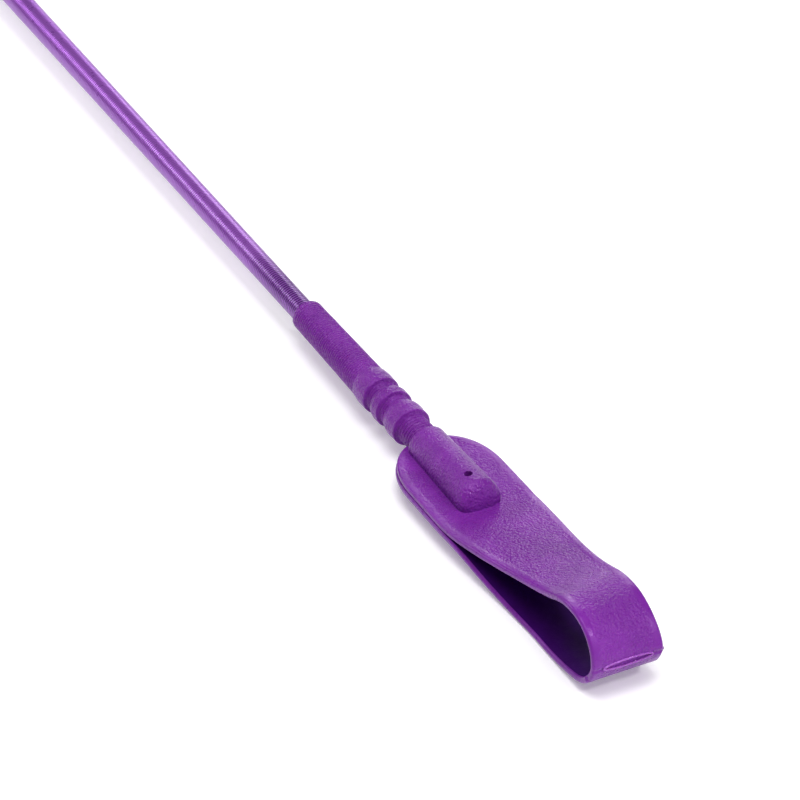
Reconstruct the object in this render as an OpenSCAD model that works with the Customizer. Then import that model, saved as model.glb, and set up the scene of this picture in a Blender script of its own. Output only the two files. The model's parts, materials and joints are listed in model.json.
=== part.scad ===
// Riding crop, lying along X with the keeper's tip at +X and the end cap at -X.
// The origin is under the middle of the crop, level with the lowest point of the cap.

/* [Crop] */
// Overall length, from the cap's end face to the keeper's tip
crop_len = 650; // [560:1:800]
// Radial gap between nested pieces
fit_gap = 0.04; // [0.02:0.01:0.1]

/* [Shaft] */
// Coated diameter at the mouth of the keeper socket
shaft_d = 6.5; // [5.8:0.1:7.4]
// Growth of the diameter for each millimetre towards the grip
shaft_taper = 0.0056; // [0.003:0.0001:0.007]
// Thickness of the clear coat
coat_t = 0.25; // [0.15:0.01:0.4]
// Thickness of the thread winding
winding_t = 0.45; // [0.3:0.01:0.6]
// Diameter of the core rod's ground end inside the boss
core_end_d = 3.6; // [3:0.1:4]
// Length of each thread binding that ties the winding off
binding_len = 4; // [3:0.5:8]

/* [Keeper socket] */
// Length of the ribbed sleeve
sleeve_len = 44.4; // [38:0.1:60]
// Wall of the sleeve at its mouth
sleeve_wall = 1.5; // [1.2:0.05:2.2]
// Growth of the sleeve's radius from its mouth to the first collar
sleeve_flare = 0.4; // [0:0.05:0.8]
// Smooth band between the mouth and the first rib
mouth_band = 2.6; // [1.5:0.1:5]
// Pitch of the fine ribs on the sleeve, in the grooves and on the neck
rib_pitch = 1; // [0.8:0.05:1.5]
// Depth of the fine ribs
rib_depth = 0.22; // [0.1:0.01:0.3]
// Lengths of the three barrel collars
collar_lens = [7, 4.6, 7.4];
// Largest radius of the collars
collar_r = 5.4; // [5:0.05:6.2]
// Depth of the step at the front edge of a collar
collar_step = 0.75; // [0.4:0.05:1]
// Length of each groove between two collars
groove_len = 3; // [2:0.5:5]
// Length of the ribbed neck
neck_len = 8; // [6:0.5:14]
// Radius of the neck
neck_r = 4.45; // [4:0.05:5]

/* [Boss and base] */
// Length of the half-round boss
boss_len = 32; // [26:0.5:45]
// Radius of the boss at the neck
boss_r0 = 4.75; // [4.5:0.05:5.5]
// Radius of the boss before its rounded end
boss_r1 = 6.5; // [5.6:0.1:8]
// Radius of the rounding at the boss's end
boss_round = 5; // [2:0.1:5.4]
// Radius of the retaining pin's hole
pin_hole_r = 1.1; // [0.8:0.05:1.3]
// Distance from the boss's end back to the pin
pin_back = 8.1; // [6:0.1:14]
// Depth of the pin's head below the boss
pin_sink = 0.6; // [0.2:0.1:1.2]
// Distance that the base reaches behind the boss
base_rear = 5.5; // [4:0.1:10]
// Width of the spade-shaped base
base_w = 29.8; // [25:0.1:40]
// Length of the rounded rear of the base
base_round = 20; // [12:0.5:26]
// Depth of the base's top face below the shaft's axis
base_drop = 1; // [0.6:0.1:1.4]
// Distance from the boss's end to the flex line
boss_gap = 3; // [2.5:0.1:8]

/* [Loop] */
// Length of the loop, from the flex line to the tip
loop_len = 72.1; // [56:0.1:95]
// Width of the strap along the loop
strap_w = 20.1; // [16:0.1:25]
// Thickness of one leg of the strap
leg_t = 1.65; // [1.3:0.05:2.2]
// Thickness of the bond between the base and the strap's tail
bond_t = 0.15; // [0.1:0.01:0.3]
// Length over which the spade narrows to the strap
shoulder_len = 56; // [24:0.5:64]
// Distance that the narrowing starts before the flex line
shoulder_lead = 12; // [4:0.5:16]
// Height of the upper leg's crown above the flex line
crown_h = 15.6; // [13:0.1:22]
// Distance from the tip back to the crown
crown_back = 11.6; // [9:0.1:17]
// Height of the upper leg's waist above the flex line
waist_h = 11.6; // [8:0.1:14]
// Distance from the tip back to the waist
waist_back = 27.4; // [24:0.1:38]
// Depth of the lower leg below the flex line
leg_drop = 4.6; // [1:0.1:6]
// Height of the weld line at the tip above the flex line
weld_h = 4.4; // [1.5:0.1:6]
// Distance from the tip back to where the lower leg turns up
lip_back = 7.5; // [6:0.1:10]
// Gap of the flex line
flex_gap = 0.3; // [0.2:0.05:0.5]

/* [Grip] */
// Length of the soft grip
grip_len = 165; // [120:1:220]
// Outer radius of the grip at the cap
grip_r0 = 8.9; // [8.2:0.1:11]
// Outer radius of the grip at its front
grip_r1 = 7.7; // [7.3:0.1:9]
// Pitch of the grip's ribs
grip_pitch = 2.5; // [2:0.1:5]
// Depth of the grip's ribs
grip_rib = 0.4; // [0.2:0.05:0.6]
// Outer radius of the grip former
former_r = 6.5; // [6:0.1:6.8]
// Length of the ferrule
ferrule_len = 10; // [6:0.5:16]
// Outer radius of the ferrule
ferrule_r = 7.2; // [6:0.1:8]
// Length of winding held inside the grip
winding_grip = 30; // [20:1:60]

/* [Cap] */
// Radius of the mushroom cap
cap_r = 13; // [11:0.1:16]
// Length of the cap
cap_len = 16; // [13:0.5:22]
// Radius of the flat disc on the cap's end
disc_r = 7.5; // [5:0.1:8]
// Thickness of the disc
disc_t = 1.2; // [0.8:0.1:2]
// Thickness of the cap between the nail's head and the grip former
cap_web = 3.4; // [2:0.1:5]
// Radius of the nail's head
nail_head_r = 3.4; // [2.5:0.1:4.5]
// Thickness of the nail's head
nail_head_t = 1.2; // [0.8:0.1:1.5]
// Radius of the nail
nail_r = 1.1; // [0.8:0.1:1.5]
// Length of the nail in the plug
nail_bite = 18; // [10:1:20]
// Length of the butt plug
plug_len = 24; // [22:1:40]
// Radius of the butt plug
plug_r = 5; // [4.6:0.1:5.4]

/* [Hidden] */
$fn = 64;

// Stations along the crop
tip_x = crop_len / 2;
butt_x = -crop_len / 2;
flex_x = tip_x - loop_len;
boss_x1 = flex_x - boss_gap;
boss_x0 = boss_x1 - boss_len;
base_x = boss_x0 - base_rear;
pin_x = boss_x1 - pin_back;
neck_x = boss_x0 - neck_len;
collar3_x = neck_x - collar_lens[2];
collar2_x = collar3_x - groove_len - collar_lens[1];
collar1_x = collar2_x - groove_len - collar_lens[0];
mouth_x = collar1_x - sleeve_len;
winding_x1 = collar1_x - 2 * binding_len;
binding_x1 = winding_x1 + binding_len;
core_taper_x = neck_x - collar_lens[2] - groove_len;
core_x1 = pin_x + 4;
nail_x = butt_x + disc_t;
web_x0 = nail_x + nail_head_t;
former_x = web_x0 + cap_web;
grip_x0 = butt_x + cap_len;
grip_x1 = grip_x0 + grip_len;
core_x0 = former_x + plug_len;
winding_x0 = grip_x1 - winding_grip;
binding_x0 = winding_x0 - binding_len;

// Heights
flex_z = -base_drop - leg_t;
bead_r = leg_t;
keeper_depth = leg_drop + leg_t / 2 - flex_z;
axis_z = max(cap_r, keeper_depth);
sleeve_r0 = shaft_d / 2 + sleeve_wall;
sleeve_r1 = sleeve_r0 + sleeve_flare;
core_end_r = core_end_d / 2;
wide = 2 * base_w;

// Radii of the tapered shaft at a station
function coat_r(x) = shaft_d / 2 + shaft_taper / 2 * (mouth_x - x);
function winding_r(x) = coat_r(x) - coat_t;
function core_r(x) = winding_r(x) - winding_t;

// Radius of the boss's cone at a station
boss_cone_len = boss_len - boss_round;
function boss_r(x) = boss_r0 + (boss_r1 - boss_r0) * min(1, (x - boss_x0) / boss_cone_len);

// Zigzag of fine ribs between two stations, as [x, r] points
function ribs(x0, x1, r0, r1, pitch, depth) =
    let (n = max(1, round((x1 - x0) / pitch)), step = (x1 - x0) / n)
    [
        for (i = [0:n - 1])
            let (a = i / n, r = r0 + (r1 - r0) * a)
            each [[x0 + i * step, r - depth], [x0 + (i + 0.5) * step, r]]
    ];

// Barrel of a collar: it swells from r0 to r1 and ends at re, as [x, r] points
function barrel(x0, len, r0, r1, re, n = 8) = [
    for (i = [0:n])
        let (a = i / n, base = r0 + (re - r0) * a)
        [x0 + len * a, base + (r1 - max(r0, re)) * sin(180 * a)]
];

// Quarter round between two points, convex outwards, from the side wall to the end
function end_round(x1, r1, rad, n = 10) = [
    for (i = [0:n])
        let (a = 90 * i / n)
        [x1 - rad + rad * sin(a), r1 - rad + rad * cos(a)]
];

// Cubic curve through its first and last points
function curve_at(p, t) =
    pow(1 - t, 3) * p[0] + 3 * t * pow(1 - t, 2) * p[1] + 3 * t * t * (1 - t) * p[2] + pow(t, 3) * p[3];
function curve(p, n) = [for (i = [0:n - 1]) curve_at(p, i / n)];

// Outline of a strip of thickness t round a centre line
function unit(v) = v / norm(v);
function along(p, i) = unit(p[min(i + 1, len(p) - 1)] - p[max(i - 1, 0)]);
function side(p, i, d) = let (u = along(p, i)) p[i] + d * [-u[1], u[0]];
function strip(p, t) = concat(
    [for (i = [0:len(p) - 1]) side(p, i, t / 2)],
    [for (i = [len(p) - 1:-1:0]) side(p, i, -t / 2)]
);

// Centre lines of the loop's legs in the XZ plane, measured from the flex line
tip_c = loop_len - leg_t / 2;
waist_x = loop_len - waist_back;
crown_x = loop_len - crown_back;
rise_x = 12;
swell_x = 0.45 * (crown_x - waist_x);
curl_x = 0.65 * (tip_c - crown_x);
curl_h = 8.2;
end_run = 0.4;
waist_slope = 0.33;
upper_line = concat(
    curve([
        [0, leg_t / 2],
        [rise_x, leg_t / 2],
        [waist_x - rise_x, waist_h - rise_x * waist_slope],
        [waist_x, waist_h]
    ], 12),
    curve([
        [waist_x, waist_h],
        [waist_x + swell_x, waist_h + swell_x * waist_slope],
        [crown_x - swell_x, crown_h],
        [crown_x, crown_h]
    ], 10),
    curve([
        [crown_x, crown_h],
        [crown_x + curl_x, crown_h],
        [tip_c, weld_h + curl_h],
        [tip_c, weld_h + end_run]
    ], 14),
    [[tip_c, weld_h + end_run], [tip_c, weld_h]]
);
lip_x = loop_len - lip_back;
sag_x = 32;
lip_run = 3;
lower_line = concat(
    curve([
        [0, -leg_t / 2],
        [sag_x / 3, -leg_t / 2],
        [sag_x * 2 / 3, -leg_drop],
        [sag_x, -leg_drop]
    ], 8),
    [[sag_x, -leg_drop]],
    curve([
        [lip_x, -leg_drop],
        [lip_x + lip_run, -leg_drop],
        [tip_c, -leg_drop + lip_run],
        [tip_c, weld_h - end_run]
    ], 10),
    [[tip_c, weld_h - end_run], [tip_c, weld_h]]
);

// Plan outline of the whole keeper: rounded rear, spade, shoulder and strap
shoulder_x = flex_x - shoulder_lead;
plan_end = tip_x + leg_t;
function ease(t) = t * t * (3 - 2 * t);
function plan_side(inset) = concat(
    [
        for (i = [0:15])
            let (a = 90 * i / 16)
            [base_x + inset + base_round * (1 - cos(a)), (base_w / 2 - inset) * sin(a)]
    ],
    [
        for (i = [0:12])
            let (t = i / 12, w = base_w + (strap_w - base_w) * ease(t))
            [shoulder_x + shoulder_len * t, w / 2 - inset]
    ],
    [[plan_end, strap_w / 2 - inset]]
);
function mirrored(p) = [for (i = [len(p) - 1:-1:1]) [p[i][0], -p[i][1]]];

// Solid turned about the shaft's axis from [x, r] points
module turned(points) {
    translate([0, 0, axis_z])
        rotate([0, 90, 0])
            rotate_extrude($fn = 96)
                polygon([for (p = points) [p[1], p[0]]]);
}

// Tube or rod between two stations whose outer and inner radii change evenly
module tapered(x0, x1, outer0, outer1, inner0 = 0, inner1 = 0) {
    turned([[x0, inner0], [x0, outer0], [x1, outer1], [x1, inner1]]);
}

// Keeper's plan outline as a slab between two heights measured from the axis
module plan_slab(z0, z1, inset = 0) {
    side_points = plan_side(inset);
    translate([0, 0, axis_z + z0])
        linear_extrude(z1 - z0)
            polygon(concat(side_points, mirrored(side_points)));
}

// Half space behind the flex line, less the round clearance of the flex bead
module behind_flex() {
    difference() {
        translate([base_x - 1, -wide / 2, 0])
            cube([flex_x - base_x + 1, wide, 2 * axis_z]);
        flex_rod(bead_r + flex_gap);
    }
}

// Rod across the keeper on the flex line
module flex_rod(r) {
    translate([flex_x, 0, axis_z + flex_z])
        rotate([90, 0, 0])
            cylinder(r = r, h = wide, center = true);
}

// Side outline given from the flex line, extruded across the keeper
module side_slab(points) {
    translate([flex_x, 0, axis_z + flex_z])
        rotate([90, 0, 0])
            linear_extrude(wide, center = true)
                polygon(points);
}

// Room for the round neck in the layers under the base
module neck_room() {
    tapered(base_x - 1, boss_x0, neck_r + fit_gap, neck_r + fit_gap);
}

// Room for the shaft inside the keeper socket
module socket_bore() {
    g = fit_gap;
    end_r = core_end_r + g;
    turned([
        [mouth_x - 1, 0],
        [mouth_x - 1, coat_r(mouth_x - 1) + g],
        [binding_x1 + g, coat_r(binding_x1) + g],
        [binding_x1 + g, core_r(binding_x1) + g],
        [core_taper_x, end_r],
        [core_x1 + g, end_r],
        [core_x1 + g, 0]
    ]);
}

module keeper_body() {
    step_r = collar_r - 0.25;
    groove_r = collar_r - collar_step;
    lip_r = 1.1;
    turned(concat(
        [[mouth_x, 0], [mouth_x, sleeve_r0 - lip_r]],
        [
            for (i = [1:6])
                let (a = 15 * i)
                [mouth_x + lip_r * (1 - cos(a)), sleeve_r0 - lip_r + lip_r * sin(a)]
        ],
        ribs(mouth_x + mouth_band, collar1_x, sleeve_r0, sleeve_r1, rib_pitch, rib_depth),
        barrel(collar1_x, collar_lens[0], sleeve_r1, collar_r, step_r),
        ribs(collar2_x - groove_len, collar2_x, groove_r, groove_r, rib_pitch, rib_depth),
        barrel(collar2_x, collar_lens[1], groove_r, collar_r, step_r),
        ribs(collar3_x - groove_len, collar3_x, groove_r, groove_r, rib_pitch, rib_depth),
        barrel(collar3_x, collar_lens[2], groove_r, collar_r, step_r),
        ribs(neck_x, boss_x0, neck_r, neck_r, rib_pitch, rib_depth),
        [[boss_x0, boss_r0]],
        end_round(boss_x1, boss_r1, boss_round),
        [[boss_x1, 0]]
    ));
}

module keeper_socket() color("#8a3fb5") {
    difference() {
        union() {
            difference() {
                keeper_body();
                translate([boss_x0, -wide / 2, 0])
                    cube([tip_x, wide, axis_z + flex_z]);
            }
            intersection() {
                plan_slab(flex_z, -base_drop);
                behind_flex();
            }
        }
        socket_bore();
        translate([pin_x, 0, axis_z + flex_z + leg_t / 2])
            cylinder(r = pin_hole_r, h = 2 * boss_r1);
    }
}

module retaining_pin() color("#4a1b78") {
    translate([pin_x, 0, axis_z + flex_z + leg_t / 2 + fit_gap])
        cylinder(r = pin_hole_r - fit_gap, h = boss_r(pin_x) - pin_sink - flex_z - leg_t / 2);
}

module strap_tail() color("#8a3fb5") {
    difference() {
        intersection() {
            plan_slab(flex_z - leg_t, flex_z - bond_t);
            behind_flex();
        }
        neck_room();
    }
}

module bond_film() color("#5d2a86") {
    difference() {
        intersection() {
            plan_slab(flex_z - bond_t, flex_z, inset = 0.8);
            behind_flex();
        }
        neck_room();
    }
}

// One leg of the loop: its strip and its half of the flex bead, cut to the plan outline
module loop_leg(line, up) {
    intersection() {
        plan_slab(-axis_z, 2 * crown_h);
        union() {
            side_slab(strip(line, leg_t));
            intersection() {
                flex_rod(bead_r);
                translate([flex_x - bead_r, -wide / 2, axis_z + flex_z - (up ? 0 : bead_r)])
                    cube([bead_r + 0.01, wide, bead_r]);
            }
        }
    }
}

module upper_strap() color("#9349bd") {
    loop_leg(upper_line, true);
}

module lower_strap() color("#7f38a8") {
    loop_leg(lower_line, false);
}

module core_rod() color("#d9d2b0") {
    difference() {
        turned([
            [core_x0, 0],
            [core_x0, core_r(core_x0)],
            [binding_x1, core_r(binding_x1)],
            [core_taper_x, core_end_r],
            [core_x1, core_end_r],
            [core_x1, 0]
        ]);
        translate([pin_x, 0, 0])
            cylinder(r = pin_hole_r, h = 2 * axis_z);
    }
}

module thread_winding() color("#7d35a8") {
    g = fit_gap / 2;
    tapered(
        winding_x0, winding_x1,
        winding_r(winding_x0) - g, winding_r(winding_x1) - g,
        core_r(winding_x0) + g, core_r(winding_x1) + g
    );
}

module clear_coat() color("#b07ad0") {
    tapered(
        winding_x0, winding_x1,
        coat_r(winding_x0), coat_r(winding_x1),
        winding_r(winding_x0), winding_r(winding_x1)
    );
}

// Thread tied round the core between two stations
module binding(x0, x1) {
    tapered(x0, x1, winding_r(x0), winding_r(x1), core_r(x0) + fit_gap, core_r(x1) + fit_gap);
}

module front_binding() color("#3d1760") {
    binding(winding_x1 + fit_gap, binding_x1);
}

module rear_binding() color("#3d1760") {
    binding(binding_x0, winding_x0 - fit_gap);
}

module grip_former() color("#2b2b2e") {
    g = fit_gap;
    turned([
        [former_x, plug_r + g],
        [former_x, former_r],
        [grip_x1, former_r],
        [grip_x1, coat_r(grip_x1) + g],
        [binding_x0 - g, coat_r(binding_x0) + g],
        [binding_x0 - g, core_r(binding_x0) + g],
        [core_x0, core_r(core_x0) + g],
        [core_x0, plug_r + g]
    ]);
}

module butt_plug() color("#b98a55") {
    difference() {
        tapered(former_x, core_x0 - fit_gap, plug_r, plug_r);
        tapered(former_x - 1, former_x + nail_bite + fit_gap, nail_r + fit_gap, nail_r + fit_gap);
    }
}

module grip_sleeve() color("#7a33a5") {
    collar = 7;
    groove = 2;
    ribs_x1 = grip_x1 - 3 * collar - 2 * groove;
    inner = former_r + fit_gap;
    turned(concat(
        [[grip_x0 + fit_gap, inner], [grip_x0 + fit_gap, grip_r0]],
        [[grip_x0 + 4, grip_r0]],
        ribs(grip_x0 + 4, ribs_x1, grip_r0, grip_r1, grip_pitch, grip_rib),
        [
            for (i = [0:2])
                each barrel(
                    ribs_x1 + i * (collar + groove), collar,
                    grip_r1 - grip_rib, grip_r1 + grip_rib, grip_r1 - grip_rib / 2
                )
        ],
        [[grip_x1, inner]]
    ));
}

module grip_ferrule() color("#4a1b78") {
    g = fit_gap;
    x0 = grip_x1 + g;
    x1 = grip_x1 + ferrule_len;
    nose = 2;
    turned([
        [x0, coat_r(x0) + g],
        [x0, ferrule_r],
        [x1 - nose, ferrule_r],
        [x1, coat_r(x1) + 1],
        [x1, coat_r(x1) + g]
    ]);
}

module end_cap() color("#7a33a5") {
    g = fit_gap;
    edge = 3.5;
    rim_x = grip_x0 - 5;
    outline = concat(
        [[butt_x, 0], [butt_x, cap_r - edge]],
        [
            for (i = [1:8])
                let (a = 90 * i / 8)
                [butt_x + edge * (1 - cos(a)), cap_r - edge + edge * sin(a)]
        ],
        [
            for (i = [0:8])
                let (t = i / 8)
                [rim_x - 4 + 9 * t, cap_r + (grip_r0 - cap_r) * ease(t)]
        ],
        [[grip_x0, 0]]
    );
    difference() {
        turned(outline);
        tapered(butt_x - 1, nail_x, disc_r + g, disc_r + g);
        tapered(nail_x - 1, web_x0, nail_head_r + g, nail_head_r + g);
        tapered(web_x0 - 1, former_x + 1, nail_r + g, nail_r + g);
        tapered(former_x - g, grip_x0 + 1, former_r + g, former_r + g);
    }
}

module cap_disc() color("silver") {
    tapered(butt_x, nail_x - fit_gap, disc_r, disc_r);
}

module cap_nail() color("gray") {
    turned([
        [nail_x, 0],
        [nail_x, nail_head_r],
        [web_x0 - fit_gap, nail_head_r],
        [web_x0 - fit_gap, nail_r],
        [former_x + nail_bite - nail_r, nail_r],
        [former_x + nail_bite, 0]
    ]);
}

end_cap();
cap_disc();
cap_nail();
butt_plug();
grip_former();
grip_sleeve();
grip_ferrule();
core_rod();
thread_winding();
clear_coat();
front_binding();
rear_binding();
keeper_socket();
retaining_pin();
strap_tail();
bond_film();
upper_strap();
lower_strap();
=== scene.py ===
import bpy
import bmesh
import json
import math
from mathutils import Matrix, Vector, noise


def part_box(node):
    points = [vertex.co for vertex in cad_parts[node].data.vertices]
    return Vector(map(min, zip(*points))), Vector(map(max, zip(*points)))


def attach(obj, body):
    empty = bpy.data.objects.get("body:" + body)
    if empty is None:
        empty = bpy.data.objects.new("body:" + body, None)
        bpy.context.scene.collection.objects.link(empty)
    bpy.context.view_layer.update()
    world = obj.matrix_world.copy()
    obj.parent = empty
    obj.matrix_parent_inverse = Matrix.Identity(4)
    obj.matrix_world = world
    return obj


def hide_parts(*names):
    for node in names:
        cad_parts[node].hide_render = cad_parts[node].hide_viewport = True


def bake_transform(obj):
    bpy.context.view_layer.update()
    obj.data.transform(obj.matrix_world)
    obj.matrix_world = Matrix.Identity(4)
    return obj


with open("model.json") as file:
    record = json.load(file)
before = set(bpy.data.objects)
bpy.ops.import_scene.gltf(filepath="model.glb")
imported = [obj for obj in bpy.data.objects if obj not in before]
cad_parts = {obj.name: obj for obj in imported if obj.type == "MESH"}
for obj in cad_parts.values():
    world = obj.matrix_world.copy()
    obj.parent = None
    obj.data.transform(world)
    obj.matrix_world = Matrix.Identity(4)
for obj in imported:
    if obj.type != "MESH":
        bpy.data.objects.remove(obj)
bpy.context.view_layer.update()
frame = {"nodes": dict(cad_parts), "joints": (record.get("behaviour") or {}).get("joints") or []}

# All shapes below are worked out in millimetres in the row frame, with heights measured from
# the shaft's axis, and turned to metres when a mesh is made.
MM = 0.001


def low(node):
    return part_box(node)[0]


def high(node):
    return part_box(node)[1]


# Places from the frame
AXIS = (low("clear_coat").z + high("clear_coat").z) / 2
FLEX = Vector(frame["joints"][0]["pos_m"])
MOUTH_X = low("keeper_socket").x / MM + 1.4
BASE_X = low("strap_tail").x / MM
FLEX_X = FLEX.x / MM
TIP_X = high("upper_strap").x / MM
PIN_X = (low("retaining_pin").x + high("retaining_pin").x) / 2 / MM
BUTT_X = low("end_cap").x / MM
GRIP_X0 = high("end_cap").x / MM
GRIP_X1 = high("grip_sleeve").x / MM
FERRULE_X1 = high("grip_ferrule").x / MM
COAT_X0 = low("clear_coat").x / MM
COAT_X1 = high("clear_coat").x / MM
BASE_TOP = (low("bond_film").z - AXIS) / MM + 0.15 + 1.65

# Shaft
SHAFT_R = 3.62
SHAFT_TAPER = 0.0022
THREAD_PITCH = 1.0

# Keeper socket
SLEEVE_R0 = 5.0
SLEEVE_R1 = 5.4
LIP_R = 1.3
MOUTH_BAND = 2.8
RIB_PITCH = 1.0
COLLARS = ((7.0, 5.9), (4.6, 5.9), (7.2, 5.95))
GROOVE_LEN = 3.0
GROOVE_R = 4.65
GROOVE_EDGE = 0.35
NECK_LEN = 8.8
NECK_R = 4.55
BOSS_GAP = 3.0
BOSS_LEN = 32.6
BOSS_R0 = 5.8
BOSS_R1 = 6.4
BOSS_END = 4.4
HOLE_R = 1.15
HOLE_FLOOR = 3.4
PIN_R = 0.62
PIN_TOP = 5.1

# Strap
LEG_T = 1.65
BASE_W = 29.5
STRAP_W = 20.1
BASE_ROUND = 20.0
LOBE_POWER = 2.25
RIM_IN = 1.7
RIM_H = 0.05
SHOULDER_LEAD = 6.0
SHOULDER_LEN = 52.0
LOOP_LEN = TIP_X - FLEX_X
FLEX_H = (FLEX.z - AXIS) / MM

# Centre lines of the loop's two legs, as places in front of the flex line and heights above it,
# at the strap's left edge and at its right edge. The crown is higher on the left.
RISE_U = (-3.0, -4.0)
RISE_LEAD = (8.0, 5.0)
WAIST_U = (46.0, 43.6)
WAIST_H = (11.2, 11.7)
WAIST_SLOPE = (0.38, 0.3)
WAIST_BACK = 12.0
WAIST_SWELL = 0.45
CROWN_U = (60.0, 57.8)
CROWN_H = (15.6, 14.8)
CROWN_LEAD = 6.5
BROW_H = (6.6, 4.4)
BROW_LEAN = (0.0, 0.45)
TIP_U = (LOOP_LEN - 0.3 - LEG_T / 2, LOOP_LEN + 0.7 - LEG_T / 2)
WELD_H = (4.4, 4.9)
HEEL_U = 63.5
HEEL_H = (-3.2, -3.4)
HEEL_SLOPE = 0.24
HEEL_LEAD = (4.0, 9.0)
BELLY_U = 38.0
BELLY_H = (-5.4, -5.0)
BELLY_LEAD = (9.0, 17.0)
TAIL_LEAD = 9.0

# Fold at the weld line: a groove across the outer face, and a small nib at the right edge
FOLD_W = 0.42
FOLD_DEEP = 0.32
NIB = 0.5

# The keeper lies a little askew: its middle line bows towards +Y, most of all at the base.
# The socket's bow grows from U0 to U1, and the strap's dies away in front of U2.
BOW_SLEEVE = 0.3
BOW_SOCKET = 0.75
BOW_BASE = 1.8
BOW_U0 = -72.0
BOW_U1 = -36.0
BOW_U2 = -4.0
BOW_FRONT = 46.0


def ease(t):
    t = min(max(t, 0.0), 1.0)
    return t * t * (3 - 2 * t)


def mix(a, b, t):
    return a + (b - a) * t


def bow(x):
    """Sideways place of the strap's middle line."""
    return BOW_BASE * math.exp(-(max(0.0, x - FLEX_X - BOW_U2) / BOW_FRONT) ** 2)


def socket_bow(x):
    """Sideways place of the socket's middle line."""
    return mix(BOW_SLEEVE, BOW_SOCKET, ease((x - FLEX_X - BOW_U0) / (BOW_U1 - BOW_U0)))


def spread(a, b, n):
    """n + 1 even stations from a to b."""
    return [mix(a, b, i / n) for i in range(n + 1)]


def bezier(p0, p1, p2, p3, n):
    """n points along a cubic curve, without its last point."""
    out = []
    for i in range(n):
        t = i / n
        s = 1 - t
        out.append(tuple(
            s ** 3 * a + 3 * s * s * t * b + 3 * s * t * t * c + t ** 3 * d
            for a, b, c, d in zip(p0, p1, p2, p3)
        ))
    return out


# ---------------------------------------------------------------- meshes

def add_mesh(name, points, faces, material):
    """Object from points in millimetres, with heights from the axis."""
    mesh = bpy.data.meshes.new(name)
    mesh.from_pydata([(x * MM, y * MM, z * MM + AXIS) for x, y, z in points], [], faces)
    bm = bmesh.new()
    bm.from_mesh(mesh)
    bmesh.ops.recalc_face_normals(bm, faces=bm.faces)
    bm.to_mesh(mesh)
    bm.free()
    for polygon in mesh.polygons:
        polygon.use_smooth = True
    obj = bpy.data.objects.new(name, mesh)
    bpy.context.collection.objects.link(obj)
    mesh.materials.append(material)
    return obj


def skin(name, rings, material):
    """Closed skin through rings of equally many points, with a face at each end."""
    n = len(rings[0])
    points = [p for ring in rings for p in ring]
    faces = [
        (i * n + j, i * n + (j + 1) % n, (i + 1) * n + (j + 1) % n, (i + 1) * n + j)
        for i in range(len(rings) - 1)
        for j in range(n)
    ]
    last = (len(rings) - 1) * n
    faces.append(tuple(reversed(range(n))))
    faces.append(tuple(range(last, last + n)))
    return add_mesh(name, points, faces, material)


def lathe(name, profile, material, segments, extra=None, lean=None):
    """Skin turned about the axis from (x, r) points. extra(x, a) adds to the radius, lean(x) to y."""
    rings = []
    for x, r in profile:
        ring = []
        for k in range(segments):
            a = 2 * math.pi * k / segments
            rr = r + (extra(x, a) if extra else 0)
            ring.append((x, rr * math.sin(a) + (lean(x) if lean else 0), rr * math.cos(a)))
        rings.append(ring)
    return skin(name, rings, material)


def ridges(x0, x1, r0, r1, pitch, depth, steps=7):
    """Round-topped ridges with sharp valleys, as (x, r) points."""
    count = max(1, round((x1 - x0) / pitch))
    out = []
    for i in range(count * steps):
        t = i / (count * steps)
        wave = abs(math.sin(math.pi * i / steps))
        out.append((mix(x0, x1, t), mix(r0, r1, t) - depth * (1 - wave ** 0.8)))
    return out


def corner(x0, r0, x1, r1, bulge, n):
    """Quarter turn from (x0, r0) to (x1, r1). With bulge it leaves along r first, else along x."""
    out = []
    for i in range(n + 1):
        a = math.pi / 2 * i / n
        if bulge:
            out.append((mix(x0, x1, 1 - math.cos(a)), mix(r0, r1, math.sin(a))))
        else:
            out.append((mix(x0, x1, math.sin(a)), mix(r0, r1, 1 - math.cos(a))))
    return out


def circle(x, z, r, n):
    """n points round an upright line that crosses the crop's axis."""
    return [
        (x + r * math.cos(2 * math.pi * k / n), r * math.sin(2 * math.pi * k / n), z)
        for k in range(n)
    ]


def smooth_by_angle(obj, degrees):
    """Sharp edges where faces meet at more than an angle."""
    bm = bmesh.new()
    bm.from_mesh(obj.data)
    limit = math.radians(degrees)
    for edge in bm.edges:
        edge.smooth = edge.calc_face_angle(0) < limit
    bm.to_mesh(obj.data)
    bm.free()


def join(objects, name):
    """One object from several."""
    merged = bmesh.new()
    for obj in objects:
        merged.from_mesh(obj.data)
    mesh = bpy.data.meshes.new(name)
    merged.to_mesh(mesh)
    merged.free()
    mesh.materials.append(objects[0].data.materials[0])
    for obj in objects:
        bpy.data.objects.remove(obj)
    obj = bpy.data.objects.new(name, mesh)
    bpy.context.collection.objects.link(obj)
    return obj


def cut(obj, tool):
    """obj less tool, which is then removed."""
    modifier = obj.modifiers.new("cut", "BOOLEAN")
    modifier.operation = "DIFFERENCE"
    modifier.object = tool
    modifier.solver = "EXACT"
    graph = bpy.context.evaluated_depsgraph_get()
    mesh = bpy.data.meshes.new_from_object(obj.evaluated_get(graph))
    obj.modifiers.clear()
    obj.data = mesh
    bpy.data.objects.remove(tool)


# ---------------------------------------------------------------- materials

RANGE_KEYS = ("From Min", "From Max", "To Min", "To Max")


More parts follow.
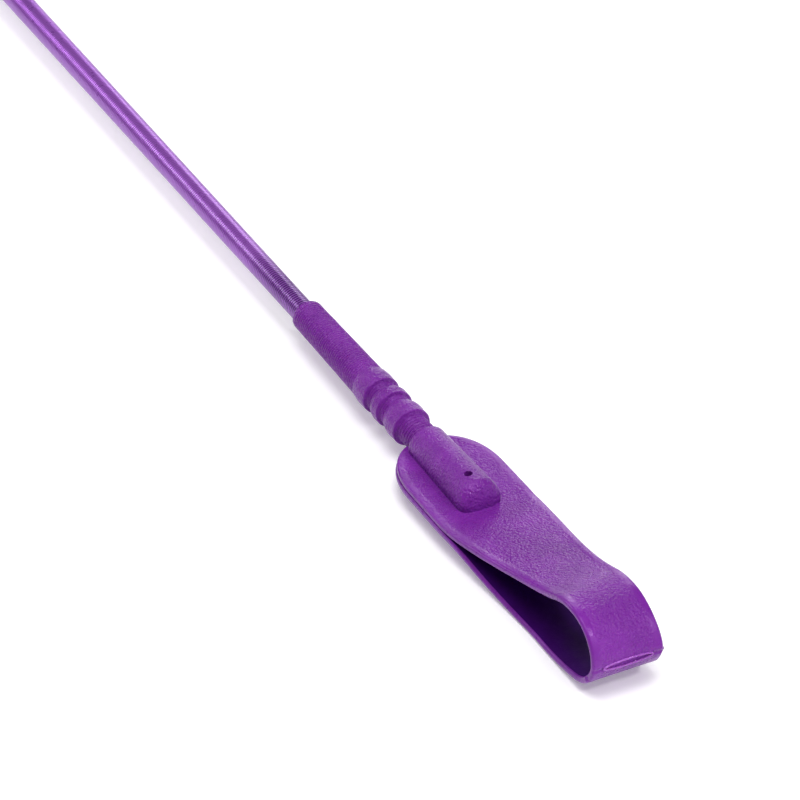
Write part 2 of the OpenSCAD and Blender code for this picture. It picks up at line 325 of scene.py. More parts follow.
class Nodes:
    """Short calls for building one material's node tree."""

    def __init__(self, name):
        self.material = bpy.data.materials.new(name)
        self.material.use_nodes = True
        self.tree = self.material.node_tree
        self.shader = self.tree.nodes["Principled BSDF"]
        self.place = self.add("ShaderNodeTexCoord").outputs["Object"]

    def add(self, kind, **values):
        node = self.tree.nodes.new(kind)
        for key, value in values.items():
            setattr(node, key, value)
        return node

    def link(self, a, b):
        self.tree.links.new(a, b)

    def feed(self, **outputs):
        """Links into the shader's own sockets."""
        for key, output in outputs.items():
            self.link(output, self.shader.inputs[key.replace("_", " ")])

    def set(self, **values):
        """Uniform values on the shader's own sockets."""
        for key, value in values.items():
            self.shader.inputs[key.replace("_", " ")].default_value = value

    def mottle(self, scale, detail, *stops):
        """Colour that wanders between stops."""
        return self.ramp(self.noise(scale, detail), *stops)

    def math(self, operation, a, b=None):
        node = self.add("ShaderNodeMath", operation=operation)
        for socket, value in zip(node.inputs, (a, b)):
            if value is None:
                continue
            if isinstance(value, (int, float)):
                socket.default_value = value
            else:
                self.link(value, socket)
        return node.outputs[0]

    def noise(self, scale, detail=2.0, rough=0.5):
        node = self.add("ShaderNodeTexNoise")
        node.inputs["Scale"].default_value = scale
        node.inputs["Detail"].default_value = detail
        node.inputs["Roughness"].default_value = rough
        self.link(self.place, node.inputs["Vector"])
        return node.outputs["Fac"]

    def cells(self, scale, feature="F1"):
        node = self.add("ShaderNodeTexVoronoi", feature=feature)
        node.inputs["Scale"].default_value = scale
        self.link(self.place, node.inputs["Vector"])
        return node.outputs["Distance"]

    def ramp(self, value, *stops):
        node = self.add("ShaderNodeValToRGB")
        while len(node.color_ramp.elements) < len(stops):
            node.color_ramp.elements.new(0.5)
        for element, (place, colour) in zip(node.color_ramp.elements, stops):
            element.position = place
            element.color = (*colour, 1)
        self.link(value, node.inputs["Fac"])
        return node.outputs["Color"]

    def span(self, value, low_in, high_in, low_out, high_out):
        node = self.add("ShaderNodeMapRange")
        for key, number in zip(RANGE_KEYS, (low_in, high_in, low_out, high_out)):
            node.inputs[key].default_value = number
        self.link(value, node.inputs["Value"])
        return node.outputs["Result"]

    def bump(self, height, distance, strength):
        node = self.add("ShaderNodeBump")
        node.inputs["Strength"].default_value = strength
        node.inputs["Distance"].default_value = distance
        self.link(height, node.inputs["Height"])
        return node.outputs["Normal"]


def srgb(r, g, b):
    """Linear colour from 0-255 sRGB values."""
    def linear(c):
        c /= 255
        return c / 12.92 if c <= 0.04045 else ((c + 0.055) / 1.055) ** 2.4
    return linear(r), linear(g), linear(b)


def keeper_material(name, dark, middle, light, specular, roughness):
    """Purple moulded plastic with a fine leather grain that stops short of the strap's rim.

    The attribute smooth_margin takes the grain away, and polish makes the surface glossier.
    """
    m = Nodes(name)
    margin = m.add("ShaderNodeAttribute", attribute_name="smooth_margin").outputs["Fac"]
    polish = m.add("ShaderNodeAttribute", attribute_name="polish").outputs["Fac"]
    pebbles = m.math("MULTIPLY", m.cells(1600, "SMOOTH_F1"), -1.0)
    fine = m.math("MULTIPLY", m.noise(2600, 3, 0.6), 0.5)
    grain = m.math("MULTIPLY", m.math("ADD", pebbles, fine), m.span(margin, 0, 1, 1, 0.2))
    rough = m.span(m.noise(700, 3), 0.3, 0.7, roughness - 0.05, roughness + 0.05)
    m.feed(
        Base_Color=m.ramp(m.noise(90, 4, 0.6), (0.3, dark), (0.5, middle), (0.72, light)),
        Roughness=m.math("SUBTRACT", rough, m.math("MULTIPLY", polish, 0.14)),
        Normal=m.bump(grain, 0.3 * MM, 0.9),
    )
    m.set(Specular_IOR_Level=specular, Specular_Tint=(*srgb(228, 186, 242), 1))
    m.set(Subsurface_Weight=0.05, Subsurface_Scale=1 * MM)
    return m.material


def shaft_material():
    """Purple thread wound closely under a clear glossy skin, darker just before the socket."""
    far, close = (MOUTH_X - 36) * MM, (MOUTH_X - 12) * MM
    m = Nodes("wound_thread")
    parts = m.add("ShaderNodeSeparateXYZ")
    m.link(m.place, parts.inputs[0])
    x, y, z = parts.outputs
    height = m.math("SUBTRACT", z, AXIS)
    turn = m.math("DIVIDE", m.math("ARCTAN2", y, height), 2 * math.pi)
    lay = m.math("ADD", m.math("DIVIDE", x, THREAD_PITCH * MM), turn)
    strand = m.math("MULTIPLY", m.math("PINGPONG", lay, 0.5), 2)
    near = m.span(x, far, close, 0.0, 1.0)
    contrast = m.math("ADD", m.math("MULTIPLY", near, 0.75), 0.25)
    # Each turn is painted lighter on its crest and darker in its valley, more strongly near the socket:
    # painted highlight and painted shade.
    value = m.math("ADD", m.math("MULTIPLY", m.math("SUBTRACT", strand, 0.5), contrast), 0.5)
    value = m.math("SUBTRACT", value, m.math("MULTIPLY", near, 0.36))
    wander = m.math("MULTIPLY", m.math("SUBTRACT", m.noise(60, 3), 0.5), 0.2)
    value = m.math("ADD", value, wander)
    dark, middle, light = srgb(66, 20, 98), srgb(140, 78, 174), srgb(176, 116, 208)
    m.feed(
        Base_Color=m.ramp(value, (0.05, dark), (0.5, middle), (0.9, light)),
        Roughness=m.span(m.noise(300, 2), 0.3, 0.7, 0.26, 0.36),
        Normal=m.bump(strand, 0.12 * MM, 0.6),
    )
    m.set(Coat_Weight=0.4, Coat_Roughness=0.14, Coat_IOR=1.4)
    m.set(Metallic=0.45, Specular_IOR_Level=0.8, Specular_Tint=(*srgb(196, 140, 226), 1))
    return m.material


def rubber_material():
    """Soft purple grip rubber with a fine stipple."""
    m = Nodes("grip_rubber")
    stipple = m.math("ADD", m.cells(1800), m.math("MULTIPLY", m.noise(3000, 2), 0.5))
    m.feed(
        Base_Color=m.mottle(120, 4, (0.3, srgb(92, 36, 122)), (0.7, srgb(112, 47, 144))),
        Roughness=m.span(m.noise(500, 3), 0.3, 0.7, 0.5, 0.66),
        Normal=m.bump(stipple, 0.12 * MM, 0.5),
    )
    m.set(Specular_IOR_Level=0.4, Sheen_Weight=0.1, Sheen_Roughness=0.5)
    return m.material


def gloss_material():
    """Dark purple glossy plastic with faint scuffs."""
    m = Nodes("dark_plastic")
    m.feed(
        Base_Color=m.mottle(150, 3, (0.3, srgb(42, 14, 66)), (0.7, srgb(54, 20, 82))),
        Roughness=m.span(m.noise(900, 5, 0.7), 0.35, 0.7, 0.18, 0.36),
        Normal=m.bump(m.noise(1200, 3), 0.04 * MM, 0.4),
    )
    m.set(Coat_Weight=0.3, Coat_Roughness=0.1)
    return m.material


def steel_material():
    """Brushed steel with a turned grain."""
    m = Nodes("brushed_steel")
    parts = m.add("ShaderNodeSeparateXYZ")
    m.link(m.place, parts.inputs[0])
    y, z = parts.outputs[1], m.math("SUBTRACT", parts.outputs[2], AXIS)
    radius = m.math("SQRT", m.math("ADD", m.math("MULTIPLY", y, y), m.math("MULTIPLY", z, z)))
    lines = m.add("ShaderNodeTexNoise", noise_dimensions="1D")
    lines.inputs["Scale"].default_value = 9000
    lines.inputs["Detail"].default_value = 3
    m.link(radius, lines.inputs["W"])
    brushed = lines.outputs["Fac"]
    m.feed(
        Base_Color=m.ramp(brushed, (0.3, (0.48, 0.48, 0.5)), (0.7, (0.64, 0.64, 0.66))),
        Roughness=m.span(m.noise(400, 3), 0.3, 0.7, 0.24, 0.38),
        Normal=m.bump(brushed, 0.03 * MM, 0.5),
    )
    m.set(Metallic=1.0)
    return m.material


def plain_material(name, dark, light, roughness, scale):
    """Mottled material for small pieces and for those that lie inside."""
    m = Nodes(name)
    m.feed(
        Base_Color=m.mottle(scale, 4, (0.3, dark), (0.7, light)),
        Roughness=m.span(m.noise(scale * 3, 3), 0.3, 0.7, roughness - 0.06, roughness + 0.06),
        Normal=m.bump(m.noise(scale * 6, 3), 0.06 * MM, 0.4),
    )
    return m.material


def floor_material():
    """Plain white studio board, lit a little from within so that shadows stay pale."""
    m = Nodes("studio_board")
    m.feed(Base_Color=m.mottle(3, 2, (0.3, (0.9, 0.9, 0.9)), (0.7, (0.92, 0.92, 0.92))))
    m.set(Roughness=0.9, Specular_IOR_Level=0.1)
    m.set(Emission_Color=(1, 1, 1, 1), Emission_Strength=0.2)
    return m.material


KEEPER = keeper_material(
    "keeper_plastic", srgb(105, 31, 136), srgb(113, 35, 145), srgb(123, 42, 156),
    specular=0.4, roughness=0.3)
# Darker copy of the plastic for the strip's inner faces: painted shade for the inside of the loop and the
# underside, with less gloss.
KEEPER_INSIDE_PAINTED_SHADE = keeper_material(
    "keeper_inside_painted_shade", srgb(50, 4, 84), srgb(56, 6, 94), srgb(62, 8, 104),
    specular=0.08, roughness=0.6)
# Lighter copy of the plastic for the weld rim: its light colour is a painted highlight, and its low
# roughness is real gloss.
KEEPER_WELD_PAINTED_HIGHLIGHT = keeper_material(
    "keeper_weld_painted_highlight", srgb(140, 66, 168), srgb(150, 76, 178), srgb(160, 88, 188),
    specular=0.8, roughness=0.18)
SHAFT = shaft_material()
RUBBER = rubber_material()
GLOSS = gloss_material()
STEEL = steel_material()
GLASS_FIBRE = plain_material("glass_fibre", srgb(205, 198, 168), srgb(222, 216, 190), 0.45, 400)
BLACK_PLASTIC = plain_material("former_plastic", srgb(26, 26, 28), srgb(38, 38, 40), 0.5, 300)
WOOD = plain_material("plug_wood", srgb(150, 108, 64), srgb(190, 146, 96), 0.6, 250)
DARK_FILM = plain_material("bond_film", srgb(62, 24, 92), srgb(78, 32, 112), 0.5, 300)
PIN = plain_material("pin_plastic", srgb(74, 34, 104), srgb(104, 58, 136), 0.45, 600)
FLOOR = floor_material()


# ---------------------------------------------------------------- shaft

def shaft_radius(x):
    return SHAFT_R + SHAFT_TAPER * (MOUTH_X - x)


def build_shaft():
    """Wound shaft under its skin; the turns show through more and more near the socket."""
    near, fade = 42, 26
    steps = 6
    ridge = 0.06
    profile = [(x, shaft_radius(x)) for x in spread(COAT_X0, MOUTH_X - near, 120)][:-1]
    count = int((near + 4) / THREAD_PITCH) * steps
    for i in range(count + 1):
        x = MOUTH_X - near + i * THREAD_PITCH / steps
        show = ease((x - (MOUTH_X - near)) / fade)
        wave = abs(math.sin(math.pi * i / steps))
        profile.append((x, shaft_radius(x) - ridge * show * (1 - wave)))
    x_last = profile[-1][0]
    profile += [(x, shaft_radius(x)) for x in spread(x_last, COAT_X1, 12)][1:]
    shaft = lathe("wound_shaft", profile, SHAFT, 64)
    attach(shaft, "root")
    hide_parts("clear_coat", "thread_winding")


# ---------------------------------------------------------------- keeper socket

BOSS_X1 = FLEX_X - BOSS_GAP - 0.6
BOSS_X0 = BOSS_X1 - BOSS_LEN
NECK_X = BOSS_X0 - NECK_LEN
COLLAR3_X = NECK_X - COLLARS[2][0]
COLLAR2_X = COLLAR3_X - GROOVE_LEN - COLLARS[1][0]
COLLAR1_X = COLLAR2_X - GROOVE_LEN - COLLARS[0][0]


def collar(x0, length, r0, r1, step_to):
    """Barrel that swells from r0 to r1 and ends in a rounded step down to step_to."""
    edge = 0.45
    out = []
    for t in spread(0, 1, 14)[:-1]:
        swell = math.sin(math.pi * min(1, 0.08 + t * 0.8)) ** 0.7
        out.append((x0 + (length - edge) * t, r0 + (r1 - r0) * max(swell, ease(t * 2.2) * 0.92)))
    r_end = r1 - 0.06
    out += corner(x0 + length - edge, r_end, x0 + length, r_end - edge, False, 5)
    out.append((x0 + length, step_to))
    return out


def socket_seam(x, a):
    """Fine parting line of the mould along both sides."""
    width = 0.05
    off = min(abs(a - math.pi / 2 - 0.12), abs(a - 3 * math.pi / 2 + 0.12)) / width
    rough = 0.6 + 0.4 * noise.noise(Vector((x * 0.9, a * 3, 0)))
    return 0.13 * rough * math.exp(-off * off)


def socket_waver(x, a):
    """Seam, and the slight unevenness of a moulding."""
    uneven = 0.035 * noise.noise(Vector((x * 0.22, math.sin(a) * 1.3, math.cos(a) * 1.3)))
    return socket_seam(x, a) + uneven


def build_sleeve():
    """Ribbed sleeve, three barrel collars and the ridged neck, turned as one skin."""
    wall_in = SHAFT_R + 0.02
    lip = corner(MOUTH_X, SLEEVE_R0 - LIP_R, MOUTH_X + LIP_R, SLEEVE_R0, True, 10)
    profile = [(MOUTH_X + 6, wall_in - 0.3), (MOUTH_X + 0.25, wall_in), (MOUTH_X, wall_in + 0.12)]
    profile += lip
    profile += [(x, SLEEVE_R0) for x in spread(MOUTH_X + LIP_R, MOUTH_X + MOUTH_BAND, 4)[1:-1]]
    profile += ridges(MOUTH_X + MOUTH_BAND, COLLAR1_X - 0.6, SLEEVE_R0, SLEEVE_R1, RIB_PITCH, 0.34)
    r0 = SLEEVE_R1
    stations = (COLLAR1_X, COLLAR2_X, COLLAR3_X)
    for (length, r1), x0 in zip(COLLARS, stations):
        profile += collar(x0, length, r0, r1, GROOVE_R)
        r0 = GROOVE_R + 0.12
        if x0 != COLLAR3_X:
            x1 = x0 + length
            profile += [(x1 + GROOVE_EDGE - 0.2, GROOVE_R - 0.05)]
            profile += ridges(
                x1 + GROOVE_EDGE, x1 + GROOVE_LEN, GROOVE_R + 0.2, GROOVE_R + 0.35, 0.88, 0.5, 8)
    profile += [(NECK_X + 0.25, NECK_R - 0.1)]
    profile += ridges(NECK_X + 0.4, BOSS_X0 + 0.2, NECK_R + 0.1, NECK_R + 0.25, 1.3, 0.62, 9)
    profile += [(BOSS_X0 + 0.2, NECK_R), (BOSS_X0 + 4, NECK_R - 0.4)]
    return lathe("sleeve", profile, KEEPER, 144, socket_waver, socket_bow)


def boss_grain(p):
    """Pebbled leather grain of the boss, in millimetres."""
    a = noise.noise(p * 1.5)
    b = abs(noise.noise(p * 3.1 + Vector((7, 3, 1))))
    return 0.05 * a + 0.07 * b


def build_boss():
    """Half-round boss with a squared, rounded end, standing on the base."""
    foot = 0.55
    rough_run = 8.0
    start_run = 0.35
    stations = [BOSS_X0 - start_run, BOSS_X0 - 0.3, BOSS_X0 - 0.15, BOSS_X0 + 0.1]
    stations += spread(BOSS_X0 + 0.4, BOSS_X1 - BOSS_END, 90)
    stations += [BOSS_X1 - BOSS_END * (1 - math.sin(math.pi / 2 * t)) for t in spread(0, 1, 34)[1:]]
    half_turn = 72
    rings = []
    for x in stations:
        along = min(1.0, max(0.0, (x - BOSS_X0) / (BOSS_LEN - BOSS_END)))
        r = mix(BOSS_R0, BOSS_R1, along)
        start = min(1.0, max(0.0, (x - BOSS_X0 + start_run) / 0.75))
        r -= 0.45 * (1 - math.sqrt(1 - (1 - start) ** 2))
        t = min(1.0, max(0.0, (x - (BOSS_X1 - BOSS_END)) / BOSS_END))
        wide = (1 - t ** 3.4) ** (1 / 3.4)
        tall = (1 - t ** 2.3) ** (1 / 2.0)
        rough = 0.45 + 2.1 * ease((x - BOSS_X1 + rough_run) / (rough_run * 0.7))
        ring = []
        side = math.acos(BASE_TOP / r)
        for k in range(half_turn + 1):
            a = mix(-side, side, k / half_turn)
            y = r * math.sin(a) * wide
            z = BASE_TOP + (r * math.cos(a) - BASE_TOP) * tall
            p = Vector((x, y + socket_bow(x), z))
            out = Vector((t * 0.7, math.sin(a), math.cos(a))).normalized()
            bulk = ease((z - BASE_TOP) / 1.2)
            p += out * boss_grain(p) * rough * bulk
            ring.append(tuple(p))
        flare = foot * (0.3 + 0.7 * wide)
        edge_z, under_z = BASE_TOP - 0.12, BASE_TOP - 0.8
        ring.insert(0, (x, ring[0][1] - flare, edge_z))
        ring.append((x, ring[-1][1] + flare, edge_z))
        ring.append((x, mix(ring[-1][1], socket_bow(x), 0.5), under_z))
        ring.append((x, 2 * socket_bow(x) - ring[-1][1], under_z))
        rings.append(ring)
    boss = skin("boss", rings, KEEPER)
    hole = [circle(PIN_X, z, HOLE_R, 40) for z in (HOLE_FLOOR, BOSS_R1 + 2)]
    cut(boss, skin("hole", hole, KEEPER))
    smooth_by_angle(boss, 50)
    return boss


def build_pin():
    """Domed head of the pin, seen down its hole."""
    dome = (
        (BASE_TOP - 0.5, 1), (PIN_TOP - 0.3, 1), (PIN_TOP - 0.12, 0.85),
        (PIN_TOP - 0.03, 0.55), (PIN_TOP, 0.2),
    )
    rings = [circle(PIN_X, z, PIN_R * share, 32) for z, share in dome]
    pin = skin("pin_head", rings, PIN)
    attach(pin, "root")
    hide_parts("retaining_pin")


def build_socket():
    """The whole moulding in one piece, glossier at the boss's end."""
    socket = join([build_sleeve(), build_boss()], "keeper_moulding")
    shine_x, shine_run = BOSS_X1 - 5.5, 3
    shine = [ease((vertex.co.x / MM - shine_x) / shine_run) for vertex in socket.data.vertices]
    socket.data.attributes.new("polish", "FLOAT", "POINT").data.foreach_set("value", shine)
    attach(socket, "root")
    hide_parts("keeper_socket")


# ---------------------------------------------------------------- strap

def across(y, pair):
    """Value between the strap's left edge, at -Y, and its right edge."""
    return mix(pair[0], pair[1], min(1, max(0, 0.5 + y / STRAP_W)))


def strap_path(y):
    """Centre line of the whole strip at a place across it: base, loop and tail, as (u, h)."""
    half = LEG_T / 2
    rise, lead = across(y, RISE_U), across(y, RISE_LEAD)
    waist, waist_h = across(y, WAIST_U), across(y, WAIST_H)
    crown, crown_h = across(y, CROWN_U), across(y, CROWN_H)
    tip, weld = across(y, TIP_U), across(y, WELD_H)
    heel_h, belly_h = across(y, HEEL_H), across(y, BELLY_H)
    swell, slope = WAIST_SWELL * (crown - waist), across(y, WAIST_SLOPE)
    rear = BASE_X - FLEX_X + 0.12
    path = [(u, half) for u in spread(rear, rise, 44)[:-1]]
    path += bezier(
        (rise, half), (rise + lead, half),
        (waist - WAIST_BACK, waist_h - WAIST_BACK * slope), (waist, waist_h), 40)
    path += bezier(
        (waist, waist_h), (waist + swell, waist_h + swell * slope),
        (crown - swell, crown_h), (crown, crown_h), 22)
    path += bezier(
        (crown, crown_h), (crown + CROWN_LEAD, crown_h),
        (tip - across(y, BROW_LEAN), weld + across(y, BROW_H)), (tip, weld + 0.6), 34)
    path += bezier((tip, weld + 0.6), (tip, weld), (tip - 0.1, weld - 0.4), (tip - 0.35, weld - 1.1), 12)
    path += bezier(
        (tip - 0.35, weld - 1.1), (tip - 1.3, weld - 3.9),
        (HEEL_U + HEEL_LEAD[0], heel_h + HEEL_LEAD[0] * HEEL_SLOPE), (HEEL_U, heel_h), 24)
    path += bezier(
        (HEEL_U, heel_h), (HEEL_U - HEEL_LEAD[1], heel_h - HEEL_LEAD[1] * HEEL_SLOPE),
        (BELLY_U + BELLY_LEAD[0], belly_h), (BELLY_U, belly_h), 20)
    path += bezier(
        (BELLY_U, belly_h), (BELLY_U - BELLY_LEAD[1], belly_h), (TAIL_LEAD, -half), (0, -half), 30)
    path += [(u, -half) for u in spread(0, rear, 40)]
    return path


def strap_half_width(u):
    """Half width of the strip at u millimetres in front of the flex line."""
    rear = BASE_X - FLEX_X
    if u < rear + BASE_ROUND:
        share = max(0.0, (u - rear) / BASE_ROUND)
        return BASE_W / 2 * max(0.0, 1 - (1 - share) ** LOBE_POWER) ** (1 / LOBE_POWER)
    t = ease((u + SHOULDER_LEAD) / SHOULDER_LEN)
    return mix(BASE_W, STRAP_W, t) / 2


def strap_section(edge):
    """Outline of the strip's cross-section, as (side, inset from the edge in mm, thickness place)."""
    steps, arc = 28, 6
    flat = [math.sin(math.pi / 2 * t) for t in spread(-1, 1, steps)][1:-1]
    turn = [math.pi / 2 * i / arc for i in range(arc + 1)]
    drop = edge / (LEG_T / 2)
    out = [(t, edge, 1.0) for t in flat]
    out += [(1.0, edge * (1 - math.sin(a)), 1 - drop * (1 - math.cos(a))) for a in turn]
    out += [(1.0, edge * (1 - math.cos(a)), -1 + drop * (1 - math.sin(a))) for a in turn]
    out += [(t, edge, -1.0) for t in reversed(flat)]
    out += [(-1.0, edge * (1 - math.sin(a)), -1 + drop * (1 - math.cos(a))) for a in turn]
    out += [(-1.0, edge * (1 - math.cos(a)), 1 - drop * (1 - math.sin(a))) for a in turn]
    return out


def build_strap():
    """The whole strip: base, upper leg, turned tip, lower leg and bonded tail."""
    lanes = 25
    paths = [strap_path(mix(-STRAP_W / 2, STRAP_W / 2, i / (lanes - 1))) for i in range(lanes)]
    count = len(paths[0])
    half = LEG_T / 2

    def on_path(i, y):
        place = min(lanes - 1.001, max(0, (y / STRAP_W + 0.5) * (lanes - 1)))
        k = int(place)
        a, b = paths[k][i], paths[k + 1][i]
        return mix(a[0], b[0], place - k), mix(a[1], b[1], place - k)

    rings = []
    margins = []
    for i in range(count):
        u = on_path(i, 0)[0]
        lower = i > count * 0.6
        w = strap_half_width(u) + (0.35 if lower else 0)
        loop = ease(u / 10)
        section = strap_section(mix(0.5, 0.78, loop))
        ring = []
        for side, inset, place in section:
            y = side * max(0.0, w - inset)
            x0, z0 = on_path(max(0, i - 1), y)
            x1, z1 = on_path(min(count - 1, i + 1), y)
            x, z = on_path(i, y)
            dx, dz = x1 - x0, z1 - z0
            length = math.hypot(dx, dz)
            nx, nz = -dz / length, dx / length
            from_edge = w - abs(y)
            h = half * place * (1 + 0.1 * loop)
            if place > 0.99:
                h += RIM_H * math.exp(-((from_edge - RIM_IN) / 0.7) ** 2)
            fold = math.exp(-((z - across(y, WELD_H)) / FOLD_W) ** 2) if u > LOOP_LEN - 4 else 0
            h -= FOLD_DEEP * fold * max(0, place)
            if side == 1.0:
                y += NIB * fold * fold
            point_x = FLEX_X + x + nx * h
            ring.append((point_x, y + bow(point_x), FLEX_H + z + nz * h))
            margins.append(1 - ease((from_edge - RIM_IN) / 1.4) if place > 0 else 1.0)
        rings.append(ring)
    strap = skin("keeper_strap", rings, KEEPER)
    smooth = strap.data.attributes.new("smooth_margin", "FLOAT", "POINT")
    smooth.data.foreach_set("value", margins)
    # The inner faces take the darker second material, which is painted shade.
    strap.data.materials.append(KEEPER_INSIDE_PAINTED_SHADE)
    size = len(section)
    inner = [section[j][2] < -0.99 and section[(j + 1) % size][2] < -0.99 for j in range(size)]
    for i in range(count - 1):
        for j in range(size):
            strap.data.polygons[i * size + j].material_index = 1 if inner[j] else 0
    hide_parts("upper_strap", "lower_strap", "strap_tail")
    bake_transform(strap)


def build_weld():
    """Raised rim that the weld leaves round a slot along the fold at the tip."""
    half_len, half_high, wire = 6.9, 0.95, 0.3
    turns = 60
    rings = []
    for i in range(turns):
        a = 2 * math.pi * i / turns
        y = half_len * math.copysign(abs(math.sin(a)) ** 0.8, math.sin(a))
        rise = half_high * math.cos(a)
        outward = Vector((0, math.sin(a) * half_high, math.cos(a) * half_len)).normalized()
        face = across(y, TIP_U) + LEG_T / 2 * 1.1 - 0.05 - 0.1 * max(0.0, -rise)
        ring = []
        for k in range(10):
            b = 2 * math.pi * k / 10
            ring.append((
                FLEX_X + face + wire * math.cos(b),
                y + outward.y * wire * math.sin(b),
                FLEX_H + across(y, WELD_H) + rise + outward.z * wire * math.sin(b),
            ))
        rings.append(ring)
    n = len(rings[0])
    points = [p for ring in rings for p in ring]
    faces = [
        (i * n + j, i * n + (j + 1) % n, (i + 1) % turns * n + (j + 1) % n, (i + 1) % turns * n + j)
        for i in range(turns)
        for j in range(n)
    ]
    # The rim's lighter colour is a painted highlight.
    weld = add_mesh("weld_rim", points, faces, KEEPER_WELD_PAINTED_HIGHLIGHT)
    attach(weld, "loop")


def build_bond():
    """Thin bond between the base and the strap's tail."""
    inset, thick = 0.9, 0.15
    rings = []
    for x in spread(BASE_X + inset, FLEX_X - 0.4, 50):
        w = max(0.3, strap_half_width(x - FLEX_X) - inset)
        low_z, high_z = FLEX_H - thick / 2, FLEX_H + thick / 2
        middle = bow(x)
        rings.append([
            (x, middle - w, low_z), (x, middle + w, low_z),
            (x, middle + w, high_z), (x, middle - w, high_z),
        ])
    bond = skin("bond_layer", rings, DARK_FILM)
    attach(bond, "root")
    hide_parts("bond_film")


# ---------------------------------------------------------------- grip and cap

def build_grip():
    """Moulded grip: fine ribs, then three barrel collars like those of the keeper."""
    r0 = high("grip_sleeve").y / MM
    r1 = 7.7
    collar_len = 7
    groove = 2
    ribs_x1 = GRIP_X1 - 3 * collar_len - 2 * groove
    profile = [(GRIP_X0 + 0.05, 6.6)]
    profile += corner(GRIP_X0 + 0.05, r0 - 0.6, GRIP_X0 + 0.65, r0, True, 6)
    profile += [(x, r0) for x in spread(GRIP_X0 + 1, GRIP_X0 + 4, 3)]
    profile += ridges(GRIP_X0 + 4, ribs_x1 - 1, r0, r1, 2.5, 0.42, 10)
    for i in range(3):
        x0 = ribs_x1 + i * (collar_len + groove)
        profile += collar(x0, collar_len, r1 - 0.1, r1 + 0.38, r1 - 0.5)
        if i < 2:
            x1 = x0 + collar_len
            profile += ridges(x1 + 0.2, x1 + groove, r1 - 0.4, r1 - 0.3, 0.9, 0.2, 8)
    profile += [(GRIP_X1, 6.6)]
    grip = lathe("grip_skin", profile, RUBBER, 112, lambda x, a: socket_waver(x, a) * 0.8)
    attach(grip, "root")
    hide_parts("grip_sleeve")


def build_cap():
    """Mushroom cap with a soft rim, and the shallow seat of its disc."""
    cap_r = high("end_cap").y / MM
    disc_r = high("cap_disc").y / MM
    seat = disc_r + 0.06
    edge = 3.4
    profile = [(BUTT_X + 1.5, 0.5), (BUTT_X + 1.5, seat), (BUTT_X + 0.35, seat)]
    profile += corner(BUTT_X + 0.3, seat + 0.05, BUTT_X, seat + 0.45, False, 4)
    profile += [(BUTT_X, r) for r in spread(seat + 0.7, cap_r - edge, 4)]
    profile += corner(BUTT_X, cap_r - edge, BUTT_X + edge, cap_r, True, 12)
    waist = low("grip_sleeve").x / MM
    for t in spread(0, 1, 24)[1:]:
        profile.append((mix(BUTT_X + edge, waist - 0.3, t), mix(cap_r, 9.15, ease(t ** 1.2))))
    profile += [(waist + 0.02, 8.8), (waist + 0.02, 6.7)]
    cap = lathe("cap_skin", profile, RUBBER, 112)
    smooth_by_angle(cap, 40)
    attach(cap, "root")
    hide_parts("end_cap")


def build_disc():
    """Domed steel disc with a turned step."""
    r = high("cap_disc").y / MM
    profile = [(BUTT_X + 1.16, 0.4), (BUTT_X + 1.16, r)]
    profile += corner(BUTT_X + 0.35, r, BUTT_X, r - 0.35, False, 5)[1:]
    profile += [(BUTT_X, r - 0.9), (BUTT_X + 0.12, r - 1.05), (BUTT_X + 0.12, r - 1.4), (BUTT_X, r - 1.55)]
    profile += [(BUTT_X, q) for q in spread(r - 2, 0.4, 8)]
    disc = lathe("disc_skin", profile, STEEL, 96)
    smooth_by_angle(disc, 35)
    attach(disc, "root")
    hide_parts("cap_disc")


def build_ferrule():
    """Ferrule with a rounded nose and two turned grooves."""
    r = high("grip_ferrule").y / MM
    x0 = GRIP_X1 + 0.04
    inner = shaft_radius(x0) + 0.03
    profile = [(x0, inner), (x0, r - 0.3), (x0 + 0.3, r)]
    for middle in (x0 + 2.2, x0 + 3.6):
        for t in spread(-1, 1, 8):
            profile.append((middle + 0.45 * t, r - 0.22 * (1 - t * t)))
    profile += [(x0 + 5.5, r)]
    profile += corner(FERRULE_X1 - 3.2, r, FERRULE_X1, inner + 0.7, False, 12)
    profile += [(FERRULE_X1, inner)]
    ferrule = lathe("ferrule_skin", profile, GLOSS, 112)
    smooth_by_angle(ferrule, 40)
    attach(ferrule, "root")
    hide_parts("grip_ferrule")


build_shaft()
build_socket()
build_pin()
build_strap()
build_weld()
build_bond()
build_grip()
build_cap()
build_disc()
build_ferrule()

CAD_MATERIALS = {
    "cap_nail": STEEL,
    "butt_plug": WOOD,
    "grip_former": BLACK_PLASTIC,
    "core_rod": GLASS_FIBRE,
    "front_binding": SHAFT,
    "rear_binding": SHAFT,
}
for node, material in CAD_MATERIALS.items():
    mesh = frame["nodes"][node].data
    mesh.materials.clear()
    mesh.materials.append(material)


# ---------------------------------------------------------------- camera, light and floor

def aim_camera(azimuth, elevation, distance, target, lens, drift):
    """Camera on a sphere round the target, moved sideways and up in its own plane by drift."""
    a, e = math.radians(azimuth), math.radians(elevation)
    right = Vector((math.cos(a), math.sin(a), 0))
    up = Vector((-math.sin(a) * math.sin(e), math.cos(a) * math.sin(e), math.cos(e)))
    back = Vector((math.sin(a) * math.cos(e), -math.cos(a) * math.cos(e), math.sin(e)))
    spot = target + back * distance - right * drift[0] - up * drift[1]
    data = bpy.data.cameras.new("camera")
    data.lens = lens
    data.sensor_width = 36
    data.clip_start = 0.01
    camera = bpy.data.objects.new("camera", data)
    camera.matrix_world = Matrix((
        (right.x, up.x, back.x, spot.x),
        (right.y, up.y, back.y, spot.y),
        (right.z, up.z, back.z, spot.z),
        (0, 0, 0, 1),
    ))
    bpy.context.collection.objects.link(camera)
    bpy.context.scene.camera = camera


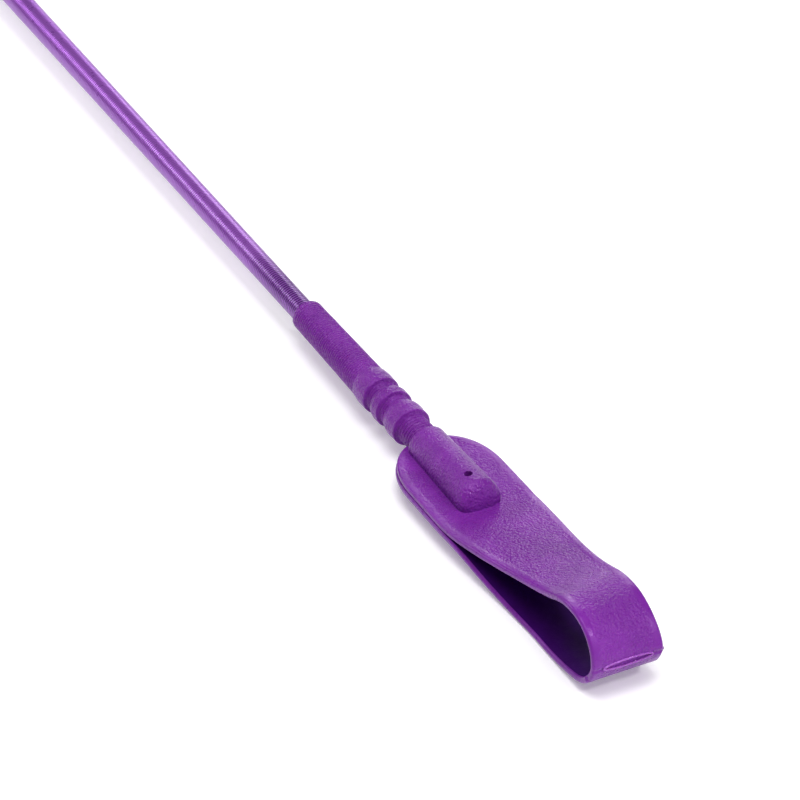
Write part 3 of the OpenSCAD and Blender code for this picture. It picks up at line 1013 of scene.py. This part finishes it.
def softbox(name, direction, distance, width, height, power, target):
    """Rectangular area light that faces the target from a direction."""
    data = bpy.data.lights.new(name, "AREA")
    data.shape = "RECTANGLE"
    data.size = width
    data.size_y = height
    data.energy = power
    light = bpy.data.objects.new(name, data)
    way = Vector(direction).normalized()
    turn = way.to_track_quat("Z", "Y").to_matrix().to_4x4()
    light.matrix_world = Matrix.Translation(target + way * distance) @ turn
    bpy.context.collection.objects.link(light)


def build_floor():
    """Board that touches the cap's lowest point and the keeper's."""
    cap_touch = BUTT_X * MM + 0.006
    keeper_touch = (FLEX_X + BELLY_U) * MM
    keeper_low = AXIS + (FLEX_H + BELLY_H[0] - LEG_T / 2 * 1.1 - 0.05) * MM
    slope = keeper_low / (keeper_touch - cap_touch)
    reach = 0.9
    corners = [(-reach, -reach), (reach, -reach), (reach, reach), (-reach, reach)]
    mesh = bpy.data.meshes.new("floor")
    mesh.from_pydata([(x, y, (x - cap_touch) * slope) for x, y in corners], [], [(0, 1, 2, 3)])
    mesh.materials.append(FLOOR)
    floor = bpy.data.objects.new("floor", mesh)
    bpy.context.collection.objects.link(floor)


def build_world():
    """Dim room that is brighter overhead, seen by the camera as a white backdrop."""
    world = bpy.data.worlds.new("world")
    bpy.context.scene.world = world
    world.use_nodes = True
    tree = world.node_tree
    background = tree.nodes["Background"]
    parts = tree.nodes.new("ShaderNodeSeparateXYZ")
    tree.links.new(tree.nodes.new("ShaderNodeTexCoord").outputs["Generated"], parts.inputs[0])
    glow = tree.nodes.new("ShaderNodeMapRange")
    for key, number in zip(RANGE_KEYS, (0, 1, 0.06, 0.22)):
        glow.inputs[key].default_value = number
    tree.links.new(parts.outputs[2], glow.inputs["Value"])
    seen = tree.nodes.new("ShaderNodeMix")
    tree.links.new(tree.nodes.new("ShaderNodeLightPath").outputs["Is Camera Ray"], seen.inputs[0])
    tree.links.new(glow.outputs["Result"], seen.inputs[2])
    seen.inputs[3].default_value = 1.0
    tree.links.new(seen.outputs[0], background.inputs["Strength"])
    background.inputs["Color"].default_value = (1, 1, 1, 1)


TARGET = Vector((FLEX.x - 0.044, 0, AXIS))
AZIMUTH = 62.461
ELEVATION = 34.476
DISTANCE = 0.8344
LENS = 135
DRIFT = (0.003165, -0.008422)

aim_camera(AZIMUTH, ELEVATION, DISTANCE, TARGET, LENS, DRIFT)
softbox("key", (0.15, -0.12, 1.0), 2.2, 1.3, 1.3, 36, TARGET)
softbox("front_fill", (0.8, 0.3, 0.4), 1.6, 1.3, 1.0, 5.4, TARGET)
softbox("sparkle", (0.56, 0.38, 0.72), 1.3, 0.14, 0.14, 4.2, TARGET)
softbox("back_left", (-0.731, -0.41, 0.5), 1.3, 0.4, 0.5, 4.2, TARGET)
softbox("back_right", (-0.731, 0.5, 0.4), 1.3, 0.4, 0.7, 3.6, TARGET)
build_floor()
build_world()
bpy.context.scene.view_settings.view_transform = "Standard"
